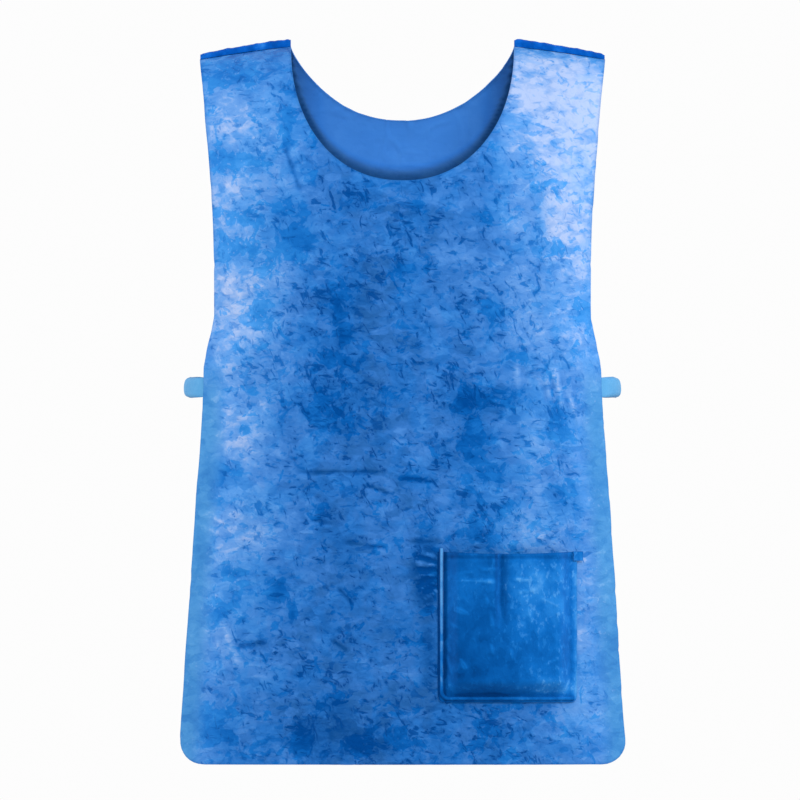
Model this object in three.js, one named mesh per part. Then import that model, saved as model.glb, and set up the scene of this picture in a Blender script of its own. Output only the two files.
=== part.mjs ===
// Tabard cooling vest: two panels of damp sponge cloth that hang from the shoulders. A rolled seam joins them
// along each shoulder and a slack strap joins them at each side, and one patch pocket sits low on the wearer's
// left.
//
// Millimetres, +Z up. The wearer faces -Y, so the wearer's left is +X. The origin is midway between the neck ends
// of the two shoulders, level with the underside of the cloth there, where the vest sits on its wearer.
import * as THREE from "three";

// The panels as seen from the front. Heights are measured down from the neck end of a shoulder.
const CLOTH = 2; // thickness of both panels
const LENGTH = 691; // down to the hem
const NECK_HALF = 107.5; // half the width of the neck opening
const SHOULDER_HALF = 195.5; // half the width over both shoulders
const CHEST_HALF = 180.5; // half the width where the armholes are deepest
const WAIST_HALF = 191; // half the width just below the armholes
const HEM_HALF = 215.5;
const SHOULDER_FALL = 12.5; // a shoulder's tip lies this far below its neck end
const FRONT_NECK = 129; // depth of the front neckline
const BACK_NECK = 70; // depth of the back neckline
const NARROWEST = 231; // the height at which the chest is narrowest
const ARMHOLE_END = 252; // the armhole starts to widen into the waist here
const ARMHOLE_RUNOUT = 63; // and takes this long to reach the waist
const HEM_CORNER = 24; // radius of the hem's corners

// The panels as seen from the side.
const FRONT_DEPTH = 104; // how far the front panel stands ahead of the shoulder line at the chest
const BACK_DEPTH = 88;
const FRONT_ROUND = 185; // the height over which the cloth rounds over the shoulder and the chest
const BACK_ROUND = 150;
const FRONT_FLARE = 14; // how far the cloth leans out from the shoulder to the hem
const BACK_FLARE = 16;
const FOLD_DEPTH = 5; // the deepest soft fold

// Shapes without a unit of length.
const ARMHOLE_CURVE = 1.7; // how quickly the armhole leaves the shoulder's tip
const WRAP = 0.9; // share of the wearer's half width that a panel covers
const FLATNESS = 2.8; // 2 is an ellipse, more is a flatter chest with quicker sides
const FRONT_NECK_ACROSS = 2.15; // powers of the necklines, 2 and 2 being an ellipse
const FRONT_NECK_DOWN = 2.15;
const BACK_NECK_ACROSS = 2.1;
const BACK_NECK_DOWN = 1.26; // below 2 the neckline slants away from the shoulder sooner
const STRAP_ROUND = 2.2; // 2 is a plain bow, more is a squarer one
const STRAP_SHARES = [0.12, 0.3, 0.5, 0.7, 0.88]; // where a strap's loop has its points, from front to back
const POCKET_CREASE_DEPTH = 0.8; // share of the pocket's swell that the crease takes away
const CREASE_REACH = 1.5; // the crease has died away this many half widths from its middle

// Seams, straps and pocket.
const SEAM_WIDE = 9; // width of the rolled shoulder seam, front to back
const SEAM_HIGH = 8; // at the neck
const SEAM_TIP_HIGH = 5.5; // at the shoulder's tip
const STRAP = 1.6; // thickness of a side strap
const STRAP_DROP = 328; // down to the middle of a strap
const STRAP_HIGH = 18.5;
const STRAP_SLACK = 20; // how far a strap swells out past the edge of the panels
const STRAP_CURL = 2.2; // how much a strap's edges turn in
const STRAP_TAIL = 30; // length of strap fixed behind each panel
const POCKET = 1.6; // thickness of the pocket cloth
const POCKET_INNER = 34; // from the vest's centre line to the pocket's inner edge
const POCKET_WIDE = 133;
const POCKET_HIGH = 145;
const POCKET_ABOVE_HEM = 60;
const POCKET_FLANGE = 6; // flat welded border at the sides and the foot
const POCKET_RISE = 15; // distance over which the pocket swells from its border
const POCKET_SWELL = 11.5; // clear depth inside the pocket
const POCKET_DIVIDER = 61; // from the inner edge to the crease between the two compartments
const POCKET_CREASE = 5; // half width of that crease
const POCKET_CREASE_LONG = 82; // length of that crease, down from the mouth
const POCKET_CORNER = 6; // radius of the pocket's lower corners
const POCKET_SAG = 2.5; // how far the mouth dips in the middle
const BINDING_WIDE = 4; // the bead that binds the pocket's inner side and foot
const BINDING_HIGH = 2.2;
const BINDING_IN = 3.5; // from the pocket's edge to the middle of the bead
const BINDING_TURN = 7; // radius at which it turns from the side to the foot
const BINDING_ABOVE = 3; // how far it stands above the mouth
const TACK_WIDE = 9; // the stitched tab at the mouth's outer corner
const TACK_HIGH = 9;
const TACK_OVER = 5; // how far it reaches past the pocket's edge
const TACK = 1.2; // its thickness

const SEAT_GAP = 0.3; // between pieces that lie on each other
const FACET_ROOM = 0.5; // a panel's flat faces cut this far inside its curve at most
const LEVEL = CLOTH / 2; // height of the middle of the cloth at the neck end of a shoulder

// Soft folds. at and wide are shares of the panel's half width at that height, from and full are shares of
// LENGTH at which the fold starts and is full, and deep is a share of FOLD_DEPTH, negative where the cloth falls
// inwards.
const FRONT_FOLDS = [
  { at: -0.8, wide: 0.2, from: 0.45, full: 0.95, deep: 0.7 },
  { at: -0.42, wide: 0.2, from: 0.5, full: 1.0, deep: -0.8 },
  { at: -0.05, wide: 0.22, from: 0.42, full: 0.9, deep: 0.6 },
  { at: 0.15, wide: 0.16, from: 0.2, full: 0.4, deep: -0.3 },
  { at: 0.9, wide: 0.2, from: 0.6, full: 1.0, deep: -0.6 },
];
const BACK_FOLDS = [
  { at: -0.75, wide: 0.22, from: 0.5, full: 1.0, deep: -0.6 },
  { at: -0.32, wide: 0.2, from: 0.35, full: 0.95, deep: 1.0 },
  { at: 0.05, wide: 0.2, from: 0.3, full: 0.9, deep: -0.9 },
  { at: 0.45, wide: 0.22, from: 0.45, full: 1.0, deep: 0.9 },
  { at: 0.85, wide: 0.2, from: 0.6, full: 1.0, deep: -0.5 },
];

const FRONT = {
  side: -1,
  depth: FRONT_DEPTH,
  round: FRONT_ROUND,
  flare: FRONT_FLARE,
  neck: FRONT_NECK,
  neckAcross: FRONT_NECK_ACROSS,
  neckDown: FRONT_NECK_DOWN,
  folds: FRONT_FOLDS,
};
const BACK = {
  side: 1,
  depth: BACK_DEPTH,
  round: BACK_ROUND,
  flare: BACK_FLARE,
  neck: BACK_NECK,
  neckAcross: BACK_NECK_ACROSS,
  neckDown: BACK_NECK_DOWN,
  folds: BACK_FOLDS,
};

// Numbers of steps in the meshes.
const YOKE_BELOW_NECK = 60; // the yoke of the mesh ends this far below the neckline
const ARMHOLE_STEPS = 10;
const ACROSS_STEPS = 9; // from the centre line to where a hem corner starts
const CORNER_STEPS = 3;
const YOKE_STEPS = 5; // from the neckline out to the armhole
const DOWN_STEP = 19; // height of a row of faces below the yoke, at most
const DENSE = 240; // points tried along a curve when it is divided evenly
const BEAD_STEPS = 8; // round the back of a bead
const SEAM_STEPS = 10;
const BINDING_STEPS = 44;
const STRAP_ACROSS_STEPS = 3;
const STRAP_STEPS = 30;
const FINE_STEP = 6.5; // width of a pocket's face, and height of one in its swelling foot, at most
const PLAIN_STEP = 11.5; // height of a pocket's face above that, at most
const TACK_STEPS = 3;

const { clamp, lerp, smoothstep } = THREE.MathUtils;

// How far the shoulder line has fallen at x.
function shoulderFall(x) {
  return (SHOULDER_FALL * (x * x - NECK_HALF ** 2)) / (SHOULDER_HALF ** 2 - NECK_HALF ** 2);
}

// Half the width of both panels at height z.
function halfWidth(z) {
  const down = LEVEL - z;
  const shoulder = 1 - clamp((down - SHOULDER_FALL) / (NARROWEST - SHOULDER_FALL), 0, 1);
  const waist = smoothstep(down, ARMHOLE_END, ARMHOLE_END + ARMHOLE_RUNOUT);
  const hem = clamp((down - STRAP_DROP) / (LENGTH - STRAP_DROP), 0, 1);
  return (
    CHEST_HALF +
    (SHOULDER_HALF - CHEST_HALF) * shoulder ** ARMHOLE_CURVE +
    (WAIST_HALF - CHEST_HALF) * waist +
    (HEM_HALF - WAIST_HALF) * hem
  );
}

// The middle of a panel's cloth at x and z.
function clothPoint(panel, x, z) {
  const down = Math.max(LEVEL - shoulderFall(x) - z, 0);
  const over = Math.sqrt(1 - (1 - Math.min(down / panel.round, 1)) ** 2);
  const share = x / halfWidth(z);
  const across = (1 - (WRAP * Math.abs(share)) ** FLATNESS) ** (1 / FLATNESS);
  let depth = (panel.depth + (panel.flare * down) / LENGTH) * over * across;
  for (const fold of panel.folds) {
    const near = Math.exp(-(((share - fold.at) / fold.wide) ** 2));
    depth += FOLD_DEPTH * fold.deep * near * smoothstep(down / LENGTH, fold.from, fold.full);
  }
  return new THREE.Vector3(x, panel.side * (SEAT_GAP / 2 + depth), z);
}

// The direction out of a panel's cloth, away from the wearer.
function clothNormal(panel, x, z) {
  const step = 1;
  const alongX = clothPoint(panel, x + step, z).sub(clothPoint(panel, x - step, z));
  const alongZ = clothPoint(panel, x, z + step).sub(clothPoint(panel, x, z - step));
  const out = alongX.cross(alongZ).normalize();
  return out.multiplyScalar(Math.sign(out.y) * panel.side);
}

// A point that lies out from the cloth by that distance, or in towards the wearer if it is negative.
function offCloth(panel, x, z, distance) {
  return clothPoint(panel, x, z).addScaledVector(clothNormal(panel, x, z), distance);
}

// A sheet of that thickness around a net of points and four-cornered faces. Points in level lie on a fold,
// where the cloth runs on level from front to back.
function sheet(points, quads, thickness, level = new Set()) {
  const count = points.length;
  const normals = points.map(() => new THREE.Vector3());
  const edges = new Map();
  for (const quad of quads) {
    const [a, b, c, d] = quad.map((i) => points[i]);
    const out = c.clone().sub(a).cross(d.clone().sub(b));
    quad.forEach((from, k) => {
      const to = quad[(k + 1) % 4];
      normals[from].add(out);
      edges.set(`${from} ${to}`, [from, to]);
    });
  }
  const position = new Float32Array(count * 6);
  points.forEach((point, i) => {
    if (level.has(i)) normals[i].y = 0;
    normals[i].normalize();
    point.clone().addScaledVector(normals[i], thickness / 2).toArray(position, i * 3);
    point.clone().addScaledVector(normals[i], -thickness / 2).toArray(position, (count + i) * 3);
  });
  const index = [];
  const face = (a, b, c, d) => index.push(a, b, c, a, c, d);
  for (const [a, b, c, d] of quads) {
    face(a, b, c, d);
    face(count + d, count + c, count + b, count + a);
  }
  for (const [from, to] of edges.values()) {
    if (!edges.has(`${to} ${from}`)) face(to, from, count + from, count + to);
  }
  const geometry = new THREE.BufferGeometry();
  geometry.setAttribute("position", new THREE.BufferAttribute(position, 3));
  geometry.setIndex(index);
  geometry.computeVertexNormals();
  return geometry;
}

// A sheet whose net is a plain grid: at(i, j) gives the point of column i and row j.
function gridSheet(columns, rows, thickness, at) {
  const points = [];
  const quads = [];
  for (let i = 0; i <= columns; i++) {
    for (let j = 0; j <= rows; j++) {
      points.push(at(i, j));
      const here = i * (rows + 1) + j;
      if (i < columns && j < rows) quads.push([here, here + 1, here + rows + 2, here + rows + 1]);
    }
  }
  return sheet(points, quads, thickness);
}

// Divides curve(t) = [x, z], t from 0 to 1, into stretches that are equally long on the panel's cloth.
function evenly(panel, curve, stretches) {
  const tried = Array.from({ length: DENSE + 1 }, (_, i) => curve(i / DENSE));
  const along = [0];
  for (let i = 1; i <= DENSE; i++) {
    const gap = clothPoint(panel, ...tried[i]).distanceTo(clothPoint(panel, ...tried[i - 1]));
    along.push(along[i - 1] + gap);
  }
  return Array.from({ length: stretches + 1 }, (_, k) => {
    const wanted = along[DENSE] * (k / stretches);
    const i = clamp(along.findIndex((length) => length >= wanted), 1, DENSE);
    return curve((i - 1 + (wanted - along[i - 1]) / (along[i] - along[i - 1])) / DENSE);
  });
}

// How far a rounded corner lifts an edge at that distance from the piece's side.
function cornerLift(fromSide, radius) {
  const into = clamp(radius - fromSide, 0, radius);
  return radius - Math.sqrt(radius ** 2 - into ** 2);
}

// Shares of the half width at which the columns of the body stand, from -1 to 1, closer in the corners.
function columnShares() {
  const flat = 1 - HEM_CORNER / HEM_HALF;
  const half = Array.from({ length: ACROSS_STEPS + 1 }, (_, i) => (flat * i) / ACROSS_STEPS);
  for (let i = 1; i <= CORNER_STEPS; i++) {
    half.push(flat + (1 - flat) * Math.sin((Math.PI / 2) * (i / CORNER_STEPS)));
  }
  return [...half.slice(1).reverse().map((share) => -share), ...half];
}

// One panel. Its yoke is a net of rays from the neckline out to the armholes and down to a level line, and its
// body is a plain grid from that line to the hem.
function panelGeometry(panel) {
  const shares = columnShares();
  const yokeEnd = LEVEL - panel.neck - YOKE_BELOW_NECK;
  const tip = LEVEL - SHOULDER_FALL;
  const hem = LEVEL - LENGTH;
  const neckline = (t) => {
    const angle = Math.PI * (1 - t);
    const out = Math.abs(Math.cos(angle)) ** (2 / panel.neckAcross);
    const down = Math.abs(Math.sin(angle)) ** (2 / panel.neckDown);
    return [NECK_HALF * Math.sign(Math.cos(angle)) * out, LEVEL - panel.neck * down];
  };
  const armhole = (t) => {
    const z = lerp(tip, yokeEnd, t * t);
    return [-halfWidth(z), z];
  };
  const leftEdge = evenly(panel, armhole, ARMHOLE_STEPS);
  const rightEdge = leftEdge.map(([x, z]) => [-x, z]).reverse();
  const levelLine = shares.map((share) => [share * halfWidth(yokeEnd), yokeEnd]);
  const outer = [...leftEdge, ...levelLine.slice(1, -1), ...rightEdge];
  const inner = evenly(panel, neckline, outer.length - 1);

  const points = [];
  const quads = [];
  const level = new Set();
  outer.forEach(([xOut, zOut], ray) => {
    const [xIn, zIn] = inner[ray];
    for (let v = 0; v <= YOKE_STEPS; v++) {
      const share = v / YOKE_STEPS;
      const x = lerp(xIn, xOut, share);
      const atShoulder = ray === 0 || ray === outer.length - 1;
      const here = points.length;
      if (atShoulder) level.add(here);
      points.push(clothPoint(panel, x, atShoulder ? LEVEL - shoulderFall(x) : lerp(zIn, zOut, share)));
      if (ray + 1 < outer.length && v < YOKE_STEPS) {
        quads.push([here, here + 1, here + YOKE_STEPS + 2, here + YOKE_STEPS + 1]);
      }
    }
  });

  const rows = Math.ceil((LENGTH - panel.neck - YOKE_BELOW_NECK) / DOWN_STEP);
  const first = (ARMHOLE_STEPS + 1) * (YOKE_STEPS + 1) - 1; // where the armhole meets the level line
  const bodyStart = points.length;
  const at = (column, row) =>
    row === 0 ? first + column * (YOKE_STEPS + 1) : bodyStart + (row - 1) * shares.length + column;
  for (let row = 1; row <= rows; row++) {
    shares.forEach((share, column) => {
      const foot = hem + cornerLift((1 - Math.abs(share)) * HEM_HALF, HEM_CORNER);
      const z = lerp(yokeEnd, foot, row / rows);
      points.push(clothPoint(panel, share * halfWidth(z), z));
      if (column > 0) {
        quads.push([at(column - 1, row - 1), at(column - 1, row), at(column, row), at(column, row - 1)]);
      }
    });
  }
  return sheet(points, quads, CLOTH, level);
}

// A bead with a flat foot and a half round back, laid along stations that each have a foot, a direction out and a
// height.
function beadGeometry(stations, wide) {
  const points = [];
  const index = [];
  stations.forEach(({ foot, out, high }, i) => {
    const before = stations[Math.max(i - 1, 0)].foot;
    const after = stations[Math.min(i + 1, stations.length - 1)].foot;
    const aside = after.clone().sub(before).cross(out).normalize();
    for (let k = 0; k <= BEAD_STEPS; k++) {
      const angle = (Math.PI * k) / BEAD_STEPS;
      const point = foot.clone().addScaledVector(aside, (wide / 2) * Math.cos(angle));
      points.push(point.addScaledVector(out, high * Math.sin(angle)));
    }
  });
  const ring = BEAD_STEPS + 1;
  for (let i = 0; i + 1 < stations.length; i++) {
    for (let k = 0; k < ring; k++) {
      const here = i * ring + k;
      const next = i * ring + ((k + 1) % ring);
      index.push(here, next + ring, next, here, here + ring, next + ring);
    }
  }
  const last = points.length - ring;
  for (let k = 1; k < BEAD_STEPS; k++) {
    index.push(0, k, k + 1, last, last + k + 1, last + k);
  }
  const geometry = new THREE.BufferGeometry().setFromPoints(points);
  geometry.setIndex(index);
  geometry.computeVertexNormals();
  return geometry;
}

// The rolled seam along one shoulder, over the joint between the panels.
function shoulderSeamGeometry(side) {
  const stations = [];
  for (let i = 0; i <= SEAM_STEPS; i++) {
    const share = side > 0 ? i / SEAM_STEPS : 1 - i / SEAM_STEPS;
    const x = lerp(NECK_HALF + SEAT_GAP, SHOULDER_HALF - SEAT_GAP, share);
    stations.push({
      foot: new THREE.Vector3(side * x, 0, CLOTH + SEAT_GAP - shoulderFall(x)),
      out: new THREE.Vector3(0, 0, 1),
      high: lerp(SEAM_HIGH, SEAM_TIP_HIGH, share),
    });
  }
  return beadGeometry(stations, SEAM_WIDE);
}

// One side strap: both tails lie behind the panels' edges, and the middle swells out in a slack loop.
function strapGeometry(side) {
  const behind = -(CLOTH / 2 + FACET_ROOM + SEAT_GAP + STRAP / 2);
  const lines = [];
  for (let j = 0; j <= STRAP_ACROSS_STEPS; j++) {
    const up = j / STRAP_ACROSS_STEPS - 0.5;
    const z = LEVEL - STRAP_DROP + up * STRAP_HIGH;
    const edge = halfWidth(z);
    const slack = STRAP_SLACK - STRAP / 2 - STRAP_CURL * (2 * up) ** 2;
    const tail = (panel) => [1, 0.5, 0].map((inwards) => {
      return offCloth(panel, side * (edge - STRAP_TAIL * inwards), z, behind);
    });
    const front = tail(FRONT);
    const back = tail(BACK).reverse();
    const loop = STRAP_SHARES.map((share) => {
      const out = edge + slack * (1 - Math.abs(2 * share - 1) ** STRAP_ROUND);
      return new THREE.Vector3(side * out, lerp(front[2].y, back[0].y, share), z);
    });
    lines.push(new THREE.CatmullRomCurve3([...front, ...loop, ...back], false, "centripetal"));
  }
  return gridSheet(STRAP_STEPS, STRAP_ACROSS_STEPS, STRAP, (i, j) => lines[j].getPoint(i / STRAP_STEPS));
}

// Positions that divide a stretch evenly into steps no longer than that, with its end but without its start.
function divide(from, to, step) {
  const steps = Math.ceil((to - from) / step);
  return Array.from({ length: steps }, (_, i) => lerp(from, to, (i + 1) / steps));
}

// The height of the pocket's foot.
function pocketFoot() {
  return LEVEL - LENGTH + POCKET_ABOVE_HEM;
}

// The patch pocket: welded flat along its border on three sides, open at the top, and swelling out between, with
// a crease that parts the mouth into two compartments.
function pocketGeometry() {
  const risen = POCKET_FLANGE + POCKET_RISE;
  const creaseStart = POCKET_DIVIDER - CREASE_REACH * POCKET_CREASE;
  const creaseEnd = POCKET_DIVIDER + CREASE_REACH * POCKET_CREASE;
  const columns = [
    0,
    POCKET_FLANGE,
    ...divide(POCKET_FLANGE, risen, FINE_STEP),
    ...divide(risen, creaseStart, FINE_STEP),
    ...divide(creaseStart, POCKET_DIVIDER, FINE_STEP),
    ...divide(POCKET_DIVIDER, creaseEnd, FINE_STEP),
    ...divide(creaseEnd, POCKET_WIDE - risen, FINE_STEP),
    ...divide(POCKET_WIDE - risen, POCKET_WIDE - POCKET_FLANGE, FINE_STEP),
    POCKET_WIDE,
  ];
  const rows = [
    0,
    POCKET_FLANGE,
    ...divide(POCKET_FLANGE, risen, FINE_STEP),
    ...divide(risen, POCKET_HIGH, PLAIN_STEP),
  ];
  return gridSheet(columns.length - 1, rows.length - 1, POCKET, (i, j) => {
    const across = columns[i];
    const up = rows[rows.length - 1 - j];
    const fromSide = Math.min(across, POCKET_WIDE - across);
    const bottom = cornerLift(fromSide, POCKET_CORNER);
    const mouth = POCKET_HIGH - POCKET_SAG * Math.sin((Math.PI * across) / POCKET_WIDE);
    const height = lerp(bottom, mouth, up / POCKET_HIGH);
    const sides = smoothstep(fromSide, POCKET_FLANGE, risen);
    const base = smoothstep(up, POCKET_FLANGE, risen);
    const crease = Math.exp(-(((across - POCKET_DIVIDER) / POCKET_CREASE) ** 2));
    const fade = 1 - smoothstep(mouth - height, POCKET_CREASE_LONG / 2, POCKET_CREASE_LONG);
    const swell = POCKET_SWELL * sides * base * (1 - POCKET_CREASE_DEPTH * crease * fade);
    const off = CLOTH / 2 + SEAT_GAP + POCKET / 2 + swell;
    return offCloth(FRONT, POCKET_INNER + across, pocketFoot() + height, off);
  });
}

// The bead along the pocket's inner side and its foot.
function pocketBindingGeometry() {
  const off = CLOTH / 2 + SEAT_GAP + POCKET + SEAT_GAP;
  const turn = BINDING_IN + BINDING_TURN;
  const line = new THREE.Path();
  line.moveTo(BINDING_IN, POCKET_HIGH + BINDING_ABOVE);
  line.lineTo(BINDING_IN, turn);
  line.absarc(turn, turn, BINDING_TURN, Math.PI, 1.5 * Math.PI);
  line.lineTo(POCKET_WIDE - BINDING_IN, BINDING_IN);
  const stations = line.getSpacedPoints(BINDING_STEPS).map(({ x: across, y: up }) => {
    const x = POCKET_INNER + across;
    const z = pocketFoot() + up;
    return { foot: offCloth(FRONT, x, z, off), out: clothNormal(FRONT, x, z), high: BINDING_HIGH };
  });
  return beadGeometry(stations, BINDING_WIDE);
}

// The stitched tab that lies over the outer corner of the pocket's mouth.
function pocketTackGeometry() {
  const off = CLOTH / 2 + SEAT_GAP + POCKET + SEAT_GAP + TACK / 2;
  const outer = POCKET_INNER + POCKET_WIDE + TACK_OVER;
  const top = pocketFoot() + POCKET_HIGH;
  return gridSheet(TACK_STEPS, TACK_STEPS, TACK, (i, j) => {
    const x = outer - TACK_WIDE * (1 - i / TACK_STEPS);
    return offCloth(FRONT, x, top - (TACK_HIGH * j) / TACK_STEPS, off);
  });
}

const clothMaterial = new THREE.MeshStandardMaterial({ color: 0x3a7fce, roughness: 0.5, metalness: 0 });
const seamMaterial = new THREE.MeshStandardMaterial({ color: 0x1263c8, roughness: 0.55, metalness: 0 });
const strapMaterial = new THREE.MeshStandardMaterial({ color: 0x58a0dc, roughness: 0.5, metalness: 0 });
const pocketMaterial = new THREE.MeshStandardMaterial({ color: 0x0a5fb8, roughness: 0.4, metalness: 0 });

const vest = new THREE.Group();

function addPiece(name, geometry, material) {
  const mesh = new THREE.Mesh(geometry, material);
  mesh.name = name;
  vest.add(mesh);
}

addPiece("front_panel", panelGeometry(FRONT), clothMaterial);
addPiece("back_panel", panelGeometry(BACK), clothMaterial);
for (const [name, side] of [["left", 1], ["right", -1]]) {
  addPiece(`shoulder_seam_${name}`, shoulderSeamGeometry(side), seamMaterial);
  addPiece(`side_strap_${name}`, strapGeometry(side), strapMaterial);
}
addPiece("pocket", pocketGeometry(), pocketMaterial);
addPiece("pocket_binding", pocketBindingGeometry(), pocketMaterial);
addPiece("pocket_tack", pocketTackGeometry(), pocketMaterial);

export default vest;
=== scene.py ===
import math

import bpy
import numpy as np
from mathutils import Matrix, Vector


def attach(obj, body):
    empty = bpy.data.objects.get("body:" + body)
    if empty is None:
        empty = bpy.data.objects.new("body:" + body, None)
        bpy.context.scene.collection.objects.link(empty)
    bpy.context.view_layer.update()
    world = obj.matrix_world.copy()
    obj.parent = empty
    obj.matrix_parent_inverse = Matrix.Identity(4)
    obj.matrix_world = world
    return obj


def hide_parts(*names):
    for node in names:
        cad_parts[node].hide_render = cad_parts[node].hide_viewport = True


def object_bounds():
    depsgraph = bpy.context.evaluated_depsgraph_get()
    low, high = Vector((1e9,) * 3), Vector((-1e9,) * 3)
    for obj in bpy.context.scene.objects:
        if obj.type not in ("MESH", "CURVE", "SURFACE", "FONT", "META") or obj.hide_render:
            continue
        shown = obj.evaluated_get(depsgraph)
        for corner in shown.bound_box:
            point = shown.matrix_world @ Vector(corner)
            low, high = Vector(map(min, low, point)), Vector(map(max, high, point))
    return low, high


# A cooling vest of damp sponge cloth: two panels, rolled shoulder seams, side straps and a patch pocket.
# Lengths are in millimetres unless a comment says metres. +Z is up and the front faces -Y.
MM = 0.001

# The panels as seen from the front. Heights are measured down from the neck end of a shoulder.
CLOTH = 2
LENGTH = 691
NECK_HALF = 107.5
SHOULDER_HALF = 195.5
CHEST_HALF = 180.5
WAIST_HALF = 191
HEM_HALF = 215.5
SHOULDER_FALL = 12.5
NARROWEST = 231
ARMHOLE_END = 252
ARMHOLE_RUNOUT = 63
HEM_CORNER = 24
ARMHOLE_CURVE = 1.7
YOKE_BELOW_NECK = 60

# The section round the torso: how far the panels wrap to the sides, how square it is, and its folds.
WRAP = 0.9
FLATNESS = 2.8
FOLD_DEPTH = 5

# Seams, straps and pocket.
SEAM_WIDE = 9
SEAM_HIGH = 8
SEAM_TIP_HIGH = 5.5
SEAM_FRINGE = 6
STRAP = 1.6
STRAP_DROP = 328
STRAP_HIGH = 18.5
STRAP_SLACK = 20
STRAP_CURL = 2.2
STRAP_TAIL = 30
STRAP_ROUND = 2.2
STRAP_SHARES = (0.12, 0.3, 0.5, 0.7, 0.88)
STRAP_CORNER = 3.5
STRAP_RISES = 0.7
STRAP_WAVES = 0.35
POCKET = 1.6
POCKET_INNER = 34
POCKET_WIDE = 133
POCKET_HIGH = 145
POCKET_ABOVE_HEM = 60
POCKET_FLANGE = 6
POCKET_RISE = 15
POCKET_SWELL = 11.5
POCKET_DIVIDER = 61
POCKET_CREASE = 5
POCKET_CREASE_LONG = 82
POCKET_CREASE_DEPTH = 0.5
POCKET_CORNER = 6
POCKET_SAG = 2.5
MOUTH_HEM = 7
BINDING_WIDE = 4
BINDING_HIGH = 2.2
BINDING_IN = 3.5
BINDING_TURN = 7
BINDING_ABOVE = 3
TACK_WIDE = 9
TACK_HIGH = 9
TACK_OVER = 5
TACK = 1.2
TACK_TONE = 0.7

# Gaps between pieces that lie on each other, and the height that drops are measured from.
SEAT_GAP = 0.3
SEAM_GAP = 0.05
FACET_ROOM = 0.5
LEVEL = CLOTH / 2

# Soft folds. Columns: middle and half width as shares of the panel's half width, start and full height as
# shares of its length, depth as a share of FOLD_DEPTH.
FRONT_FOLDS = (
    (-0.8, 0.2, 0.45, 0.95, 0.7),
    (-0.42, 0.2, 0.5, 1.0, -0.8),
    (-0.05, 0.22, 0.42, 0.9, 0.6),
    (0.15, 0.16, 0.2, 0.4, -0.3),
    (0.9, 0.2, 0.6, 1.0, -0.6),
)
BACK_FOLDS = (
    (-0.75, 0.22, 0.5, 1.0, -0.6),
    (-0.32, 0.2, 0.35, 0.95, 1.0),
    (0.05, 0.2, 0.3, 0.9, -0.9),
    (0.45, 0.22, 0.45, 1.0, 0.9),
    (0.85, 0.2, 0.6, 1.0, -0.5),
)

# What differs between the panels: the side of the wearer, how deep they swell, how far down the shoulders
# are round, how much the hem flares, how low the neck is, and how square it is across and down.
FRONT = {
    "side": -1,
    "depth": 104,
    "round": 185,
    "flare": 14,
    "neck": 129,
    "neck_across": 2.15,
    "neck_down": 2.15,
    "folds": FRONT_FOLDS,
}
BACK = {
    "side": 1,
    "depth": 88,
    "round": 150,
    "flare": 16,
    "neck": 70,
    "neck_across": 2.1,
    "neck_down": 1.26,
    "folds": BACK_FOLDS,
}

# Steps of the meshes.
ARMHOLE_STEPS = 62
ACROSS_STEPS = 74
CORNER_STEPS = 8
YOKE_STEPS = 34
DOWN_STEP = 2.5
DENSE = 400
SEAM_STEPS = 70
BEAD_STEPS = 14
STRAP_STEPS = 90
STRAP_ACROSS_STEPS = 14
POCKET_STEP = 1.35
BINDING_STEPS = 150
TACK_STEPS = 8

# Small ridges and creases of the front cloth, which are also painted into its tone: paler on the ridges as
# painted highlight and darker in the creases as painted shade. Columns: x and z of one end, x and z of the
# other, half width, and height, which is negative for a crease.
FRONT_WRINKLES = (
    (14, -485, 33, -490, 1.6, 1.6),
    (13, -496, 33, -499, 1.7, 2.0),
    (13, -510, 33, -506, 1.7, 2.0),
    (16, -522, 33, -513, 1.6, 1.7),
    (21, -531, 34, -521, 1.5, 1.3),
    (145, -309, 154, -345, 2.2, 0.9),
    (137, -314, 141, -336, 1.8, 0.7),
    (159, -331, 169, -361, 2.2, 0.8),
    (109, -300, 112, -340, 2.4, 0.6),
    (-196, -459, -174, -468, 1.8, 0.6),
    (-186, -451, -171, -458, 1.6, 0.45),
    (-173, -553, -158, -594, 2.2, 0.5),
    (-182, -557, -176, -580, 1.8, 0.3),
    (169, -556, 173, -592, 2.4, 0.15),
    (-100, -409, -16, -408, 1.8, -1.2),
    (-37, -421, -14, -428, 2.2, -1.4),
    (-2, -414, 33, -418, 1.8, -1.0),
    (6, -476, 32, -475, 1.6, -1.0),
    (-158, -577, -131, -572, 1.8, -1.1),
    (-68, -570, -53, -580, 2.0, -1.2),
    (-57, -476, -16, -481, 1.8, -0.9),
    (-100, -453, -69, -457, 1.8, -1.0),
    (1, -446, 29, -435, 1.6, -0.8),
    (-115, -92, -98, -138, 1.8, -1.1),
    (-62, -520, -48, -535, 1.6, -1.0),
    (64, -490, 78, -520, 2.0, -1.0),
)
WRINKLE_BEND = 1.6
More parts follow.
